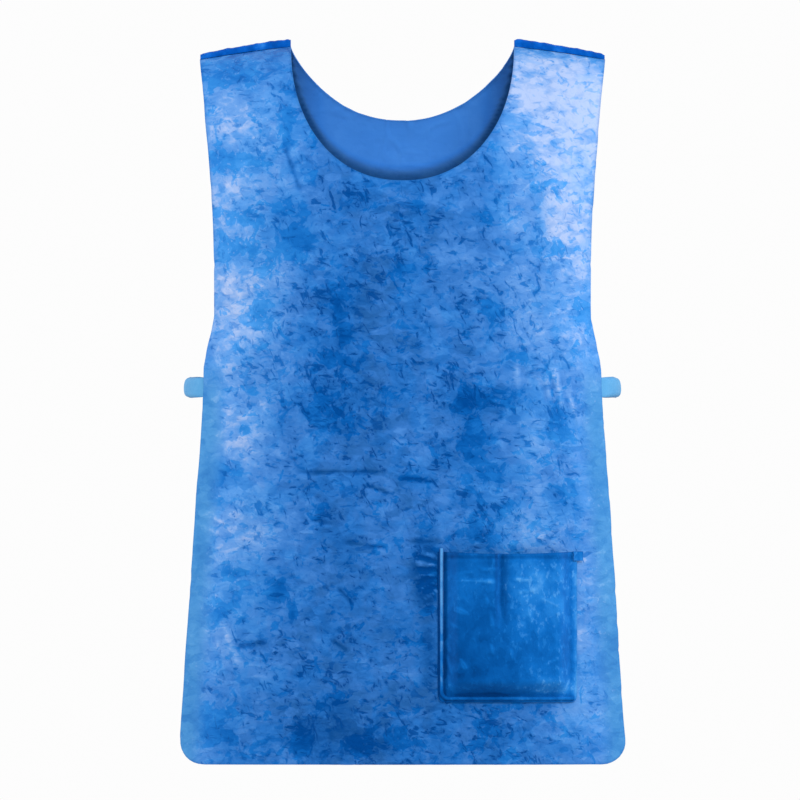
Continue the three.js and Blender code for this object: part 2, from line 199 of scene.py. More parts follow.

# Paler places of the front cloth, most of them painted light: a painted highlight on the upper right
# shoulder, paler sides and a darker middle painted as the studio's light falls, and painted shade beside
# the pocket; the rest is the cloth's own tone. Columns: x and z of the middle, half width, half height,
# and strength, which is negative where the cloth is darker.
FRONT_TONES_AND_PAINTED_LIGHT = (
    (166, -50, 48, 75, 0.8),
    (104, -12, 26, 30, 0.8),
    (108, -62, 22, 44, 0.4),
    (104, -140, 20, 50, 0.4),
    (137, -40, 40, 60, 0.4),
    (162, -146, 36, 70, 0.7),
    (133, -185, 36, 80, 0.35),
    (166, -252, 28, 60, 0.3),
    (172, -294, 18, 24, 0.35),
    (82, -232, 34, 60, -0.2),
    (113, -310, 26, 60, 0.25),
    (-162, -69, 30, 60, 0.5),
    (-166, -28, 34, 22, 0.3),
    (-118, -76, 24, 40, 0.45),
    (-147, -136, 34, 50, 0.55),
    (-147, -240, 34, 60, 0.65),
    (-118, -262, 28, 50, 0.3),
    (-88, -180, 28, 60, 0.35),
    (-171, -175, 20, 100, 0.2),
    (-168, -275, 22, 50, 0.35),
    (-128, -450, 16, 40, 0.3),
    (-152, -368, 34, 36, 0.6),
    (-157, -455, 28, 50, 0.3),
    (-138, -474, 17, 14, 0.4),
    (-181, -552, 34, 90, 0.25),
    (181, -494, 26, 130, 0.35),
    (160, -590, 30, 90, 0.35),
    (142, -445, 22, 36, 0.25),
    (123, -388, 16, 100, 0.3),
    (-51, -243, 60, 130, -0.3),
    (-31, -359, 70, 100, -0.2),
    (-56, -494, 36, 60, -0.35),
    (-50, -585, 55, 50, -0.25),
    (-60, -653, 70, 40, -0.8),
    (94, -663, 60, 22, -0.25),
    (98, -634, 60, 7, -0.1),
    (112, -466, 40, 18, 0.55),
    (75, -349, 40, 50, -0.15),
    (23, -508, 13, 30, -1.6),
    (26, -590, 8, 50, -0.5),
)

# The same for the back cloth.
BACK_TONES = (
    (-90, -160, 60, 80, 0.4),
    (100, -330, 50, 90, 0.3),
    (20, -600, 120, 50, -0.4),
)

# Random relief of the panels. Columns: width and height over which it changes, seed, and rise.
FRONT_RELIEF = {
    "broad": (80, 120, 1, 1.3),
    "middling": (34, 50, 2, 0.9),
    "crease_patches": (60, 44, 3, 1),
    "level_creases": (46, 13, 4, -0.9),
    "steep_creases": (15, 52, 5, -0.8),
    "bumps": (13, 9, 6, 0.5),
    "bump_patches": (70, 60, 7, 1),
}
BACK_RELIEF = {
    "broad": (70, 130, 11, 1.5),
    "middling": (36, 60, 12, 1.0),
    "crease_patches": (70, 50, 13, 1),
    "level_creases": (50, 14, 14, -0.9),
    "steep_creases": (16, 60, 15, -0.8),
    "bumps": (13, 10, 16, 0.5),
    "bump_patches": (70, 60, 17, 1),
}
LEVEL_CREASES_HALF = 120

# Places with many short creases, painted dark as painted shade, in the same columns as the front's
# paler places.
FRONT_MARKS = (
    (-136, -98, 24, 10, 1.0),
    (-147, -136, 12, 14, 0.9),
    (-58, -136, 22, 12, 1.0),
    (0, -180, 24, 42, 1.0),
    (-36, -200, 24, 8, 0.8),
    (-78, -235, 26, 26, 1.0),
    (-29, -228, 14, 16, 0.9),
    (-128, -286, 40, 22, 0.9),
    (-80, -339, 44, 30, 1.0),
    (-57, -412, 48, 6, 0.8),
    (-12, -445, 24, 16, 0.7),
    (-84, -455, 18, 8, 0.8),
    (51, -325, 44, 16, 0.8),
    (22, -407, 28, 14, 0.8),
    (89, -455, 40, 24, 1.0),
    (65, -243, 34, 60, 0.6),
    (125, -190, 30, 40, 0.5),
    (-59, -569, 10, 16, 1.0),
    (-145, -576, 22, 5, 0.8),
    (-99, -600, 30, 22, 0.8),
    (-17, -658, 30, 26, 1.0),
    (-99, -662, 36, 24, 0.9),
    (94, -663, 80, 22, 0.7),
    (152, -339, 26, 30, 0.6),
)

# Places that the water has soaked, in the same columns. Strength is negative where the cloth stays milky.
FRONT_SOAKS = (
    (-162, -24, 32, 12, 1.1),
    (-172, -107, 25, 12, 1.1),
    (-112, -79, 8, 24, 0.9),
    (-135, -113, 12, 9, 0.9),
    (-108, -152, 17, 8, 0.8),
    (-100, -183, 19, 23, 1.1),
    (-159, -194, 23, 17, 0.9),
    (-137, -255, 14, 15, 1.1),
    (-152, -162, 17, 8, 0.7),
    (-64, -243, 17, 15, 0.8),
    (3, -212, 15, 9, 0.9),
    (-58, -274, 10, 15, 0.8),
    (-65, -301, 28, 9, 0.9),
    (82, -249, 16, 10, 1.3),
    (88, -264, 9, 13, 1.1),
    (79, -164, 9, 7, 0.9),
    (140, -131, 18, 12, 0.4),
    (149, -193, 14, 7, 0.6),
    (173, -257, 9, 12, 0.7),
    (113, -299, 18, 8, 0.9),
    (-60, -351, 16, 24, 0.8),
    (-84, -349, 14, 12, 0.9),
    (-180, -415, 18, 20, 1.0),
    (-160, -506, 24, 8, 0.9),
    (-152, -369, 6, 5, 1.6),
    (75, -338, 44, 14, 0.8),
    (68, -374, 10, 26, 1.1),
    (17, -416, 17, 6, 0.9),
    (89, -412, 17, 11, 0.8),
    (77, -440, 28, 16, 0.7),
    (148, -359, 14, 20, 0.9),
    (151, -435, 15, 18, 0.7),
    (188, -415, 10, 26, 0.8),
    (-123, -523, 13, 12, 1.1),
    (-170, -538, 15, 11, 0.8),
    (-138, -474, 17, 14, -0.6),
    (-106, -543, 5, 10, 1.0),
    (-97, -667, 15, 13, 1.2),
    (-7, -663, 13, 12, 1.1),
    (-40, -669, 17, 11, 1.0),
    (-176, -658, 26, 24, 0.7),
    (25, -507, 12, 26, 1.3),
    (94, -668, 50, 12, 0.5),
    (98, -635, 60, 8, 0.4),
    (70, -469, 24, 12, 0.8),
    (76, -212, 40, 34, -0.9),
    (104, -262, 30, 34, -0.7),
    (-148, -385, 26, 18, -1.0),
    (-120, -125, 12, 14, -0.7),
    (160, -60, 38, 50, -0.8),
    (-168, -225, 18, 14, -0.8),
    (40, -440, 20, 16, -0.6),
)

# Ridges, creases and paler places of the pocket's cloth, measured from its lower inner corner. The ridges
# and creases are also painted paler and darker as painted light and shade, and the dark place just above
# the foot is painted shade.
POCKET_WRINKLES = (
    (22, 117, 54, 116, 1.5, 1.0),
    (20, 124, 34, 125, 1.2, 0.5),
    (70, 118, 94, 117, 1.3, 0.7),
    (40, 127, 56, 128, 1.3, 0.6),
    (74, 105, 90, 108, 1.2, 0.5),
    (12, 8, 128, 7, 2.0, -1.1),
    (16, 90, 30, 84, 1.6, 0.7),
    (12, 76, 22, 70, 1.4, 0.5),
    (96, 100, 112, 92, 1.8, 0.5),
    (44, 104, 49, 92, 1.4, 0.5),
    (49, 88, 52, 70, 1.5, 0.6),
    (34, 62, 37, 50, 1.2, 0.6),
    (50, 56, 52, 46, 1.3, 0.9),
    (21, 42, 27, 31, 1.2, 1.0),
    (8, 60, 12, 48, 1.2, 0.6),
    (9, 45, 14, 26, 1.4, 0.8),
    (84, 92, 88, 76, 1.4, 0.6),
    (68, 52, 70, 40, 1.2, 0.6),
    (92, 60, 95, 48, 1.2, 0.5),
    (100, 36, 112, 42, 1.2, 0.5),
)
POCKET_TONES_AND_SHADE = (
    (98, 118, 40, 30, 1.0),
    (112, 64, 30, 56, 0.75),
    (84, 74, 20, 46, 0.4),
    (30, 108, 28, 22, 0.35),
    (30, 36, 40, 34, -0.35),
    (56, 11, 36, 8, -0.5),
    (120, 26, 20, 20, 0.3),
)

# Straight lines on the pocket. Columns: distance from its inner side or its foot, half width, strength.
# The dark lines along the divider's crease, on both sides of the binding and under the mouth are painted
# shade.
DIVIDER_LINES = (
    (POCKET_DIVIDER, 1.8, -0.7),
    (POCKET_DIVIDER - 6.5, 1.4, -0.7),
)
UPRIGHT_LINES = (
    (0, 1.8, -1.3),
    (BINDING_IN + 3.4, 1.6, -1.0),
    (POCKET_WIDE - 7, 1.4, -0.2),
)
LEVEL_LINES = (
    (16, 7, 0.55),
    (POCKET_HIGH - POCKET_SAG - 2.5, 1.8, -0.5),
)

# Colours as they look in the studio's light, darkest first, at these levels.
LEVELS = (0.0, 0.2, 0.4, 0.6, 0.8, 1.0)
MILKY = ((17, 77, 148), (38, 97, 169), (53, 116, 196), (75, 136, 213), (106, 158, 225), (172, 192, 233))
SOAKED = ((1, 66, 145), (11, 92, 178), (28, 113, 200), (48, 133, 215), (73, 151, 229), (132, 178, 238))
MARGIN = ((10, 76, 150), (26, 96, 170), (44, 114, 186), (59, 132, 198), (74, 147, 208), (116, 174, 226))
# INSIDE runs from the inner cloth's own colour at its top down into painted shade at its dark end.
INSIDE = ((8, 40, 84), (32, 72, 122), (50, 96, 156), (54, 114, 192), (58, 128, 214), (72, 140, 222))
WET_BLUE = ((3, 60, 128), (4, 78, 155), (8, 90, 172), (14, 106, 194), (38, 130, 216), (90, 165, 235))
SEAM_BLUE = ((0, 48, 120), (0, 62, 150), (0, 78, 178), (8, 96, 202), (40, 124, 220), (100, 165, 236))
STRAP_BLUE = (
    (60, 130, 190), (72, 146, 204), (84, 158, 214), (94, 166, 220), (110, 178, 228), (140, 196, 236)
)
CUT_EDGE = (12, 72, 140)
# The strap's and pocket's edge colours are also painted as shade on the flanks of the seams and binding.
STRAP_EDGE_AND_FLANK_SHADE = (20, 90, 160)
POCKET_EDGE_AND_FLANK_SHADE = (2, 50, 124)
FLOOR_COLOURS = ((226, 226, 224), (236, 236, 235))
SHEEN = (0.0, 0.45, 1.0, 1)
STUDIO_LIGHT = 1.45
INSIDE_LIGHT = 1.05

# What the camera sees of the vest's plane, in millimetres, and how far away it stands, in metres.
CAMERA_WIDE = 772.4
CAMERA_X = -2.4
CAMERA_Z = -339.2
CAMERA_AWAY = 30
SENSOR = 36

# The studio, in metres. Columns of the softboxes: name, place, width, height and power.
FLOOR_BELOW = 0.25
FLOOR_RADIUS = 4.5
WORLD_LIGHT = 0.98
LIGHTS_AIM = (0, 0, -0.35)
SOFTBOXES = (
    ("key", (0.9, -2.4, 1.2), 0.9, 0.9, 40),
    ("left_side", (-1.9, -0.5, 0.1), 0.5, 1.6, 22),
    ("right_side", (1.9, -0.5, 0.2), 0.5, 1.6, 22),
)

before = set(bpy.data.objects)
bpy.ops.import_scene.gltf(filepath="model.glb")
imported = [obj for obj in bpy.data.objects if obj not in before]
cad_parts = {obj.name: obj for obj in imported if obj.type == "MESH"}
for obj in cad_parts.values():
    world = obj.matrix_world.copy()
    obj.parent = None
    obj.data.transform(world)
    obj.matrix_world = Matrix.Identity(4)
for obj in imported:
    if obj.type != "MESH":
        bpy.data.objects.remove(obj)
cad_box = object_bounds()


# Shapes


def smoothstep(value, low, high):
    share = np.clip((value - low) / (high - low), 0, 1)
    return share * share * (3 - 2 * share)


def lerp(start, end, share):
    return start + (end - start) * share


def bell(value, middle, wide):
    """1 at the middle, falling to 0 on both sides over about twice that width."""
    return np.exp(-(((value - middle) / wide) ** 2))


def shoulder_fall(x):
    return SHOULDER_FALL * (x * x - NECK_HALF**2) / (SHOULDER_HALF**2 - NECK_HALF**2)


def half_width(z):
    down = LEVEL - z
    shoulder = 1 - np.clip((down - SHOULDER_FALL) / (NARROWEST - SHOULDER_FALL), 0, 1)
    waist = smoothstep(down, ARMHOLE_END, ARMHOLE_END + ARMHOLE_RUNOUT)
    hem = np.clip((down - STRAP_DROP) / (LENGTH - STRAP_DROP), 0, 1)
    chest = CHEST_HALF + (SHOULDER_HALF - CHEST_HALF) * shoulder**ARMHOLE_CURVE
    return chest + (WAIST_HALF - CHEST_HALF) * waist + (HEM_HALF - WAIST_HALF) * hem


def cloth_point(panel, x, z):
    """The middle of a panel's cloth at x and z."""
    x, z = np.broadcast_arrays(np.asarray(x, float), np.asarray(z, float))
    down = np.maximum(LEVEL - shoulder_fall(x) - z, 0)
    over = np.sqrt(1 - (1 - np.minimum(down / panel["round"], 1)) ** 2)
    share = x / half_width(z)
    across = (1 - (WRAP * np.abs(share)) ** FLATNESS) ** (1 / FLATNESS)
    depth = (panel["depth"] + panel["flare"] * down / LENGTH) * over * across
    for at, wide, start, full, deep in panel["folds"]:
        depth = depth + FOLD_DEPTH * deep * bell(share, at, wide) * smoothstep(down / LENGTH, start, full)
    return np.stack([x, panel["side"] * (SEAT_GAP / 2 + depth), z], axis=-1)


def cloth_normal(panel, x, z):
    """The direction out of a panel's cloth, away from the wearer."""
    along_x = cloth_point(panel, x + 1, z) - cloth_point(panel, x - 1, z)
    along_z = cloth_point(panel, x, z + 1) - cloth_point(panel, x, z - 1)
    out = np.cross(along_x, along_z)
    out /= np.linalg.norm(out, axis=-1, keepdims=True)
    return out * (np.sign(out[..., 1:2]) * panel["side"])


def off_cloth(panel, x, z, distance):
    distance = np.asarray(distance, float)
    return cloth_point(panel, x, z) + cloth_normal(panel, x, z) * distance[..., None]


def drift(x, z, wide, high, seed):
    """Smooth random heights from about -1 to 1 that change over that width and height."""
    angles = np.random.default_rng(seed).uniform(0, 2 * math.pi, (64, 64))
    u, v = np.asarray(x) / wide, np.asarray(z) / high
    column, row = np.floor(u).astype(int), np.floor(v).astype(int)
    total = np.zeros(u.shape)
    for right in (0, 1):
        for up in (0, 1):
            angle = angles[(column + right) % 64, (row + up) % 64]
            from_x, from_z = u - column - right, v - row - up
            weight = smoothstep(1 - np.abs(from_x), 0, 1) * smoothstep(1 - np.abs(from_z), 0, 1)
            total += weight * (np.cos(angle) * from_x + np.sin(angle) * from_z)
    return 1.5 * total


def wander(along, run, seed):
    """Smooth random numbers along a line, that change over that run."""
    return drift(along, 0 * along, run, 1, seed)


def crease_lines(x, z, wide, high, seed):
    """Narrow lines, 1 in the middle and 0 between them, where a drift crosses zero."""
    return bell(drift(x, z, wide, high, seed), 0, 0.09)


def wrinkles(x, z, table):
    """The heights of the ridges and creases in a table, each fading towards both ends."""
    total = np.zeros(np.shape(x))
    for x0, z0, x1, z1, wide, high in table:
        along_x, along_z = x1 - x0, z1 - z0
        share = ((x - x0) * along_x + (z - z0) * along_z) / (along_x**2 + along_z**2)
        held = np.clip(share, 0, 1)
        away = np.hypot(x - x0 - held * along_x, z - z0 - held * along_z)
        bend = WRINKLE_BEND * drift(x, z, 14, 14, 40)
        ends = smoothstep(0.5 - np.abs(share - 0.5), -0.12, 0.2)
        total += high * bell(away + bend, 0, wide) * ends
    return total


def places(x, z, table):
    """The sum of the soft round places in a table."""
    total = np.zeros(np.shape(x))
    for at_x, at_z, wide, high, strength in table:
        total += strength * bell(x, at_x, wide) * bell(z, at_z, high)
    return total


def catmull_rom(points, count):
    """That many points along a centripetal curve through the given ones."""
    points = np.asarray(points, float)
    ends = (2 * points[0] - points[1], 2 * points[-1] - points[-2])
    chain = np.vstack([ends[0], points, ends[1]])
    out = []
    for t in np.linspace(0, len(points) - 1, count):
        i = min(int(t), len(points) - 2)
        p0, p1, p2, p3 = chain[i : i + 4]
        k1 = np.linalg.norm(p1 - p0) ** 0.5
        k2 = np.linalg.norm(p2 - p1) ** 0.5
        k3 = np.linalg.norm(p3 - p2) ** 0.5
        m1 = (p1 - p0) / k1 - (p2 - p0) / (k1 + k2) + (p2 - p1) / k2
        m2 = (p2 - p1) / k2 - (p3 - p1) / (k2 + k3) + (p3 - p2) / k3
        s = t - i
        near = (2 * s**3 - 3 * s**2 + 1) * p1 + (s**3 - 2 * s**2 + s) * k2 * m1
        out.append(near + (3 * s**2 - 2 * s**3) * p2 + (s**3 - s**2) * k2 * m2)
    return np.array(out)


def evenly(panel, curve, stretches):
    """Points of a panel's curve, t from 0 to 1, that are equally far apart on its cloth."""
    tried = np.linspace(0, 1, DENSE + 1)
    x, z = curve(panel, tried)
    gaps = np.linalg.norm(np.diff(cloth_point(panel, x, z), axis=0), axis=1)
    along = np.concatenate([[0], np.cumsum(gaps)])
    return curve(panel, np.interp(np.linspace(0, along[-1], stretches + 1), along, tried))


def corner_lift(from_side, radius):
    """How far a rounded corner lifts an edge at that distance from the piece's side."""
    into = np.clip(radius - from_side, 0, radius)
    return radius - np.sqrt(radius**2 - into**2)


# Meshes


def add_object(name, points, faces, facts):
    """A mesh object from points in millimetres. facts are its named numbers, one for each point."""
    mesh = bpy.data.meshes.new(name)
    mesh.from_pydata((np.asarray(points) * MM).tolist(), [], [list(map(int, face)) for face in faces])
    mesh.polygons.foreach_set("use_smooth", np.ones(len(mesh.polygons), bool))
    for fact, values in facts.items():
        attribute = mesh.attributes.new(fact, "FLOAT", "POINT")
        attribute.data.foreach_set("value", np.asarray(values, np.float32))
    mesh.set_sharp_from_angle(angle=math.radians(50))
    mesh.update()
    piece = bpy.data.objects.new(name, mesh)
    bpy.context.scene.collection.objects.link(piece)
    return piece


def add_sheet(name, points, quads, thickness, facts, level=()):
    """A closed sheet of cloth round a net of points. facts are pairs of numbers, for the one side and the
    other. Points in level lie on a fold, where the cloth runs on level from front to back."""
    points, quads = np.asarray(points, float), np.asarray(quads, int)
    count = len(points)
    a, b, c, d = (points[quads[:, k]] for k in range(4))
    out = np.cross(c - a, d - b)
    normals = np.zeros_like(points)
    for k in range(4):
        np.add.at(normals, quads[:, k], out)
    normals[list(level), 1] = 0
    normals /= np.linalg.norm(normals, axis=1, keepdims=True)
    both = np.vstack([points + normals * thickness / 2, points - normals * thickness / 2])
    starts = quads.ravel()
    ends = np.roll(quads, -1, axis=1).ravel()
    known = set((starts * count + ends).tolist())
    open_edges = [(s, e) for s, e in zip(starts, ends) if int(e) * count + int(s) not in known]
    rim_faces = [(e, s, s + count, e + count) for s, e in open_edges]
    faces = np.vstack([quads, quads[:, ::-1] + count, np.array(rim_faces)])
    on_rim = np.zeros(count)
    on_rim[[s for s, e in open_edges]] = 1
    values = {"rim_and_flank_shade": np.concatenate([on_rim, on_rim])}
    for fact, pair in facts.items():
        values[fact] = np.concatenate([np.broadcast_to(numbers, count) for numbers in pair])
    return add_object(name, both, faces, values)


def grid_quads(columns, rows):
    """The faces of a grid whose points run row by row within each column."""
    here = np.arange(columns)[:, None] * (rows + 1) + np.arange(rows)[None, :]
    quads = np.stack([here, here + 1, here + rows + 2, here + rows + 1], axis=-1)
    return quads.reshape(-1, 4)


def add_bead(name, feet, outs, highs, wide, facts, flank):
    """A bead with a flat foot and a half round back along the points in feet. flank is how much painted
    shade its flanks take in the edge's colour, darkest at the feet, one number for all or one for each
    point."""
    along = np.gradient(feet, axis=0)
    aside = np.cross(along, outs)
    aside /= np.linalg.norm(aside, axis=1, keepdims=True)
    angles = np.linspace(0, math.pi, BEAD_STEPS + 1)
    points = feet[:, None] + aside[:, None] * (wide / 2)[:, None, None] * np.cos(angles)[None, :, None]
    points = points + outs[:, None] * highs[:, None, None] * np.sin(angles)[None, :, None]
    ring = BEAD_STEPS + 1
    faces = []
    for i in range(len(feet) - 1):
        for k in range(ring):
            here, after = i * ring + k, i * ring + (k + 1) % ring
            faces.append((here, here + ring, after + ring, after))
    last = (len(feet) - 1) * ring
    faces.append(tuple(range(ring)))
    faces.append(tuple(last + k for k in reversed(range(ring))))
    values = {fact: np.repeat(value, ring) for fact, value in facts.items()}
    # Painted shade on the flanks, darkest at the feet and none on the crest, joined to the cut edges'
    # fact.
    flanks = np.outer(np.broadcast_to(flank, len(feet)), np.cos(angles) ** 2)
    values["rim_and_flank_shade"] = np.maximum(values["rim_and_flank_shade"], flanks.ravel())
    return add_object(name, points.reshape(-1, 3), faces, values)


# The cloth's relief and its facts


def pocket_foot():
    return LEVEL - LENGTH + POCKET_ABOVE_HEM


def beside_pocket(x, z, margin):
    """1 away from the pocket and 0 behind it, changing over that margin."""
    past_x = np.maximum(POCKET_INNER - x, x - POCKET_INNER - POCKET_WIDE - TACK_OVER)
    past_z = np.maximum(pocket_foot() - z, z - pocket_foot() - POCKET_HIGH - BINDING_ABOVE)
    return smoothstep(np.maximum(past_x, past_z), 0.2, margin)


def free_cloth(x, z):
    """1 where a panel hangs free, and 0 where a seam or strap holds it."""
    from_shoulder = smoothstep(LEVEL - shoulder_fall(x) - z, 2, 26)
    from_strap_z = np.abs(z - LEVEL + STRAP_DROP) - STRAP_HIGH / 2
    from_strap_x = half_width(z) - np.abs(x) - STRAP_TAIL
    return from_shoulder * smoothstep(np.maximum(from_strap_z, from_strap_x), 0, 14)


def layer(pattern, x, z, row):
    """One layer of relief: a pattern drawn with its row's width, height and seed, times its rise."""
    wide, high, seed, rise = row
    return rise * pattern(x, z, wide, high, seed)


def random_relief(x, z, rows, level_share, steep_share):
    """Soft swells, patches of level and of steep creases, and patches of small bumps."""
    swells = layer(drift, x, z, rows["broad"]) + layer(drift, x, z, rows["middling"])
    creased = smoothstep(layer(drift, x, z, rows["crease_patches"]), -0.15, 0.35)
    bumpy = smoothstep(layer(drift, x, z, rows["bump_patches"]), -0.1, 0.4)
    level = layer(crease_lines, x, z, rows["level_creases"]) * creased * level_share
    steep = layer(crease_lines, x, z, rows["steep_creases"]) * (1 - creased) * steep_share
    return swells + level + steep + layer(drift, x, z, rows["bumps"]) * bumpy


def front_relief(x, z):
    centre = bell(x, 0, LEVEL_CREASES_HALF)
    random_part = random_relief(x, z, FRONT_RELIEF, centre, 1 - centre) * beside_pocket(x, z, 16)
    drawn = wrinkles(x, z, FRONT_WRINKLES) * beside_pocket(x, z, 2.5)
    return (random_part + drawn) * free_cloth(x, z)


def back_relief(x, z):
    return random_relief(x, z, BACK_RELIEF, 1, 1) * free_cloth(x, z)


def side_light(x, z):
    """Painted side light: how much paler the cloth is painted towards its sides, where the side lamps
    fall.
    """
    return 0.6 * np.abs(x / half_width(z)) ** 2.4


def margin(x, z):
    """The smooth, evenly wet margin along each side below the armholes."""
    past_armhole = smoothstep(LEVEL - z, 290, 345)
    from_side = half_width(z) - np.abs(x) + 4 * drift(x, z, 30, 30, 21)
    return smoothstep(from_side, 26, 8) * past_armhole


def front_facts(x, z):
    """The net's first face is the outside of the front panel. tone is how pale the cloth looks with
    painted light and shade in it, soak how wet, marks how creased, calm how even, and shade how far an
    inner side lies in painted shade."""
    folds = wrinkles(x, z, FRONT_WRINKLES)
    ragged = smoothstep(drift(x, cloth_point(FRONT, x, z)[..., 1], 12, 13, 22), -0.15, 0.2)
    below_seam = ragged * bell(LEVEL - shoulder_fall(x) - z, 0, SEAM_FRINGE)
    patches = places(x, z, FRONT_SOAKS)
    # Painted light in the tone: the painted highlight and shade of the front's paler places, the painted
    # side light, and the wrinkles painted paler on ridges and darker in creases.
    tone = places(x, z, FRONT_TONES_AND_PAINTED_LIGHT) + side_light(x, z) + 0.95 * folds - 0.4 * below_seam - 0.25 * patches
    soak = patches - 0.5 * np.maximum(folds, 0) + 0.9 * below_seam
    # The inner side takes the painted side light too, and painted shade.
    return {
        "tone": (tone, side_light(x, z) - 0.2),
        "soak": (soak, 0),
        "marks": (places(x, z, FRONT_MARKS), 0),
        "calm": (margin(x, z), 0.5),
        "shade": (0, 0.35),
    }


def back_facts(x, z):
    """The net's first face is the inside of the back panel, which shows through the neck."""
    open_share = np.clip(1 - np.abs(x / NECK_HALF) ** FRONT["neck_across"], 0, 1)
    above = z - LEVEL + FRONT["neck"] * open_share ** (1 / FRONT["neck_down"])
    # Painted shade on the back's inner side: a painted shadow just above the front neckline, fading again
    # below it, and more painted shade towards the sides of the neck.
    shade = 0.95 * smoothstep(above, 20, 2) * (1 - 0.6 * smoothstep(above, -10, -60))
    shade = shade + 0.45 * smoothstep(np.abs(x), 66, 102)
    # Both sides take the painted side light; the outside also grows darker towards the hem.
    outside_tone = places(x, z, BACK_TONES) + side_light(x, z) - 0.15 * smoothstep(-z, 200, 690)
    return {
        "tone": (0.1 * side_light(x, z), outside_tone),
        "soak": (-0.3, 0.15 * drift(x, z, 60, 60, 31)),
        "marks": (0, 0.5 + drift(x, z, 70, 50, 32)),
        "calm": (0.55, margin(x, z)),
        "shade": (np.clip(shade, 0.02, 1), 0),
    }


# Pieces


def column_shares():
    """Shares of the half width at which the columns of a panel's body stand, closer in the corners."""
    flat = 1 - HEM_CORNER / HEM_HALF
    turn = np.arange(1, CORNER_STEPS + 1) / CORNER_STEPS
    corner = flat + (1 - flat) * np.sin(math.pi / 2 * turn)
    half = np.concatenate([np.linspace(0, flat, ACROSS_STEPS + 1), corner])
    return np.concatenate([-half[:0:-1], half])


def yoke_end(panel):
    return LEVEL - panel["neck"] - YOKE_BELOW_NECK


def neckline(panel, t):
    """The x and z of the neck's edge, from one shoulder to the other."""
    angle = math.pi * (1 - t)
    out = np.abs(np.cos(angle)) ** (2 / panel["neck_across"])
    down = np.abs(np.sin(angle)) ** (2 / panel["neck_down"])
    return NECK_HALF * np.sign(np.cos(angle)) * out, LEVEL - panel["neck"] * down


def armhole(panel, t):
    """The x and z of one armhole's edge, from the shoulder down to the end of the yoke."""
    z = lerp(LEVEL - SHOULDER_FALL, yoke_end(panel), t * t)
    return -half_width(z), z


def yoke_points(panel, shares):
    """The x and z of the yoke: rays from the neckline out to the armholes and the body."""
    foot = yoke_end(panel)
    left_x, left_z = evenly(panel, armhole, ARMHOLE_STEPS)
    middle = shares[1:-1]
    outer_x = np.concatenate([left_x, middle * half_width(foot), -left_x[::-1]])
    outer_z = np.concatenate([left_z, np.full(len(middle), foot), left_z[::-1]])
    inner_x, inner_z = evenly(panel, neckline, len(outer_x) - 1)
    share = np.linspace(0, 1, YOKE_STEPS + 1)[None, :]
    x = lerp(inner_x[:, None], outer_x[:, None], share)
    z = lerp(inner_z[:, None], outer_z[:, None], share)
    for ray in (0, -1):
        z[ray] = LEVEL - shoulder_fall(x[ray])
    return x, z


def body_points(panel, shares):
    """The x and z of the rows below the yoke, down to the hem and its rounded corners."""
    rows = math.ceil((LENGTH - panel["neck"] - YOKE_BELOW_NECK) / DOWN_STEP)
    foot = LEVEL - LENGTH + corner_lift((1 - np.abs(shares)) * HEM_HALF, HEM_CORNER)
    down = (np.arange(1, rows + 1) / rows)[:, None]
    z = lerp(yoke_end(panel), foot[None, :], down)
    return shares[None, :] * half_width(z), z


def panel_net(panel):
    """The x and z of a panel's points, its faces, and the points on the shoulder lines."""
    shares = column_shares()
    yoke_x, yoke_z = yoke_points(panel, shares)
    body_x, body_z = body_points(panel, shares)
    rays, ring = yoke_x.shape
    top_row = (ARMHOLE_STEPS + np.arange(len(shares))) * ring + YOKE_STEPS
    body = yoke_x.size + np.arange(body_x.size).reshape(body_x.shape)
    net = np.vstack([top_row, body])
    body_quads = np.stack([net[:-1, :-1], net[1:, :-1], net[1:, 1:], net[:-1, 1:]], axis=-1)
    quads = np.vstack([grid_quads(rays - 1, YOKE_STEPS), body_quads.reshape(-1, 4)])
    x = np.concatenate([yoke_x.ravel(), body_x.ravel()])
    z = np.concatenate([yoke_z.ravel(), body_z.ravel()])
    level = [*range(ring), *range((rays - 1) * ring, rays * ring)]
    return x, z, quads, level


def add_panel(name, panel, relief, facts):
    x, z, quads, level = panel_net(panel)
    points = off_cloth(panel, x, z, relief(x, z))
    return add_sheet(name, points, quads, CLOTH, facts(x, z), level)


def add_shoulder_seam(name, side):
    """The rolled seam along one shoulder, uneven as a hand-fed seam is."""
    share = np.linspace(0, 1, SEAM_STEPS + 1)
    if side < 0:
        share = share[::-1]
    x = lerp(NECK_HALF + SEAT_GAP, SHOULDER_HALF - SEAT_GAP, share)
    wobble = wander(x, 11, 50 + side) + 0.5 * wander(x, 4.5, 52 + side)
    ends = smoothstep(0.5 - np.abs(share - 0.5), 0, 0.04)
    high = lerp(SEAM_HIGH, SEAM_TIP_HIGH, share) * (0.97 + 0.12 * wobble) * (0.82 + 0.18 * ends)
    wide = SEAM_WIDE * (0.97 + 0.12 * wander(x, 9, 55 + side)) * (0.8 + 0.2 * ends)
    feet = np.stack([side * x, 0 * x, CLOTH + SEAM_GAP - shoulder_fall(x)], axis=-1)
    outs = np.tile([0.0, 0.0, 1.0], (len(x), 1))
    facts = {"tone": 0.7 * wander(x, 13, 58 + side), "rim_and_flank_shade": 1 - ends}
    return add_bead(name, feet, outs, high, wide, facts, 0.3)


